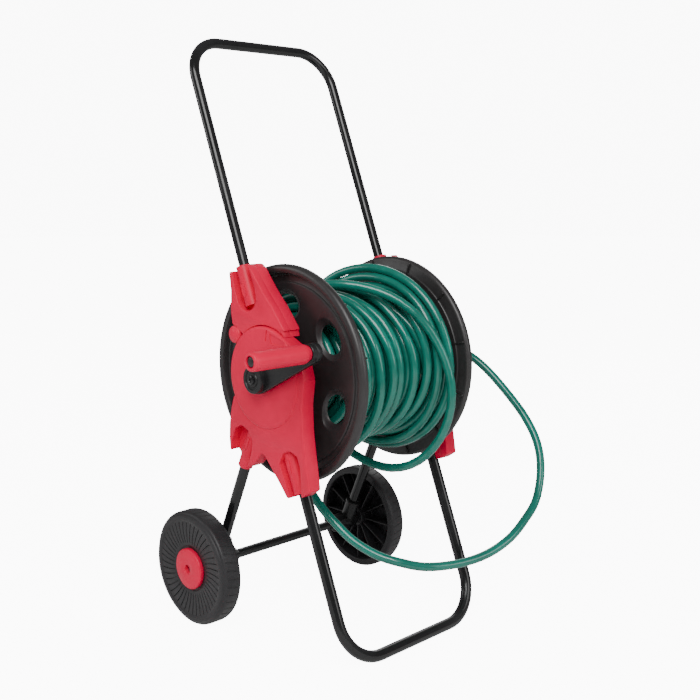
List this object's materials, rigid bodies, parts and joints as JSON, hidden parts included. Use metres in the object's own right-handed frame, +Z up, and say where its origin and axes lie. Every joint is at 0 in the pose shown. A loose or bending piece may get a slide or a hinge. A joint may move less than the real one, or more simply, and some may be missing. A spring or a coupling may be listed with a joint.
{
  "type": "garden hose reel cart",
  "caption": "Two-wheeled tubular hose reel cart with a crank-turned drum, wound hose, tipping U handle and U-shaped foot.",
  "frame": {"origin": "on the ground, under the middle of the foot bar", "axes": "+X along the drum axis from the crank to the water inlet, +Y from the foot bar back to the wheels, +Z up"},
  "size_m": [0.6711, 0.5005, 1.033],
  "materials": {
    "black_enamel_tube": "gloss black stove enamel on steel tube",
    "bare_steel": "zinc plated",
    "black_plastic": "satin moulded black-brown plastic",
    "wheel_plastic": "satin moulded dark grey plastic with radial grooves",
    "red_plastic": "satin moulded red plastic",
    "natural_nylon": "natural nylon",
    "seal_rubber": "matt",
    "green_hose": "glossy green soft PVC"
  },
  "bodies": {
    "frame": {"front_leg": "black_enamel_tube", "rear_leg_left": "black_enamel_tube", "rear_leg_right": "black_enamel_tube", "axle_tube": "black_enamel_tube", "axle_rod": "bare_steel", "axle_tee_left": "black_plastic", "axle_tee_right": "black_plastic", "axle_clip_left": "bare_steel", "axle_clip_right": "bare_steel", "side_bracket_left": "red_plastic", "side_bracket_right": "red_plastic", "drum_bush_left": "natural_nylon", "drum_bush_right": "natural_nylon", "water_inlet": "black_plastic", "water_seal": "seal_rubber", "hose_connector": "black_plastic", "hose_loop": "green_hose"},
    "handle": {"handle_tube": "black_enamel_tube", "handle_socket_left": "red_plastic", "handle_socket_right": "red_plastic"},
    "knob_left": {"lock_knob_left": "red_plastic"},
    "knob_right": {"lock_knob_right": "red_plastic"},
    "left_wheel": {"wheel_left": "wheel_plastic", "hub_cap_left": "red_plastic"},
    "right_wheel": {"wheel_right": "wheel_plastic", "hub_cap_right": "red_plastic"},
    "drum": {"drum_core": "black_plastic", "flange_left": "black_plastic", "flange_right": "black_plastic", "water_elbow": "black_plastic", "crank_shaft": "black_plastic", "crank_arm": "black_plastic", "crank_screw": "bare_steel", "grip_pin": "bare_steel", "hose_wound": "green_hose", "hose_slack_turn": "green_hose"},
    "grip": {"crank_grip": "red_plastic"}
  },
  "joints": [
    {"name": "handle_tip", "type": "hinge", "parent": "frame", "child": "handle", "pos_m": [0, 0.17897, 0.464], "axis": [-1, 0, 0], "range_deg": [0, 40]},
    {"name": "knob_left_pull", "type": "slide", "parent": "handle", "child": "knob_left", "axis": [-1, 0, 0], "range_m": [0, 0.004], "stiffness_N_per_m": 800},
    {"name": "knob_right_pull", "type": "slide", "parent": "handle", "child": "knob_right", "axis": [1, 0, 0], "range_m": [0, 0.004], "stiffness_N_per_m": 800},
    {"name": "drum_spin", "type": "hinge", "parent": "frame", "child": "drum", "pos_m": [0, 0.17897, 0.464], "axis": [-1, 0, 0], "continuous": true},
    {"name": "grip_spin", "type": "hinge", "parent": "drum", "child": "grip", "pos_m": [-0.26, 0.04468, 0.52379], "axis": [-1, 0, 0], "continuous": true},
    {"name": "left_wheel_spin", "type": "hinge", "parent": "frame", "child": "left_wheel", "pos_m": [-0.209, 0.33897, 0.103], "axis": [-1, 0, 0], "continuous": true},
    {"name": "right_wheel_spin", "type": "hinge", "parent": "frame", "child": "right_wheel", "pos_m": [0.209, 0.33897, 0.103], "axis": [-1, 0, 0], "continuous": true}
  ]
}
